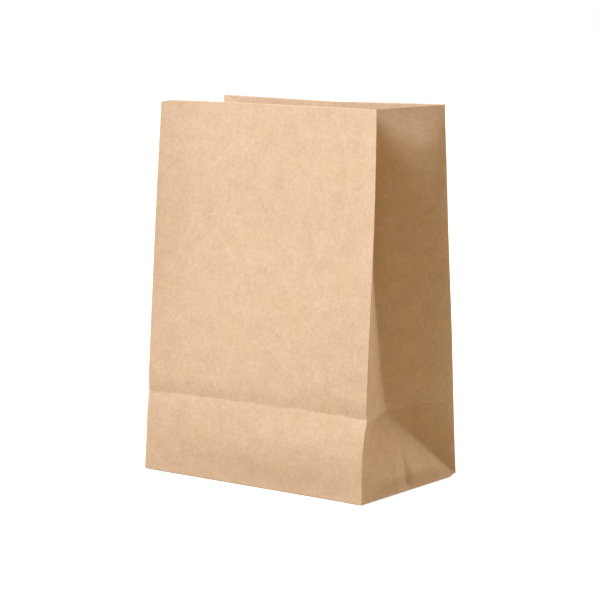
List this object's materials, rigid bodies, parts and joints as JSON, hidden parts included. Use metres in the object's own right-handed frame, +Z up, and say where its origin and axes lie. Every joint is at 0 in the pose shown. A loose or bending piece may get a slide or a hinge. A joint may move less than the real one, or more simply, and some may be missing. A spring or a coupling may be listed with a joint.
{
  "type": "paper lunch bag",
  "caption": "Open block-bottom kraft paper bag with side gussets, a back seam and a glued flat base, standing empty to hold a packed lunch.",
  "frame": {"origin": "under the middle of the base, on the surface that the bag stands on", "axes": "+Z up towards the open mouth, -Y the way the front panel faces, +X towards the gusset on the bag's right as seen from the front"},
  "size_m": [0.1503, 0.0903, 0.2077],
  "materials": {
    "kraft_paper": "matt unbleached kraft, uncoated, lightly mottled"
  },
  "bodies": {
    "root": {"lunch_bag": "kraft_paper"}
  },
  "joints": []
}
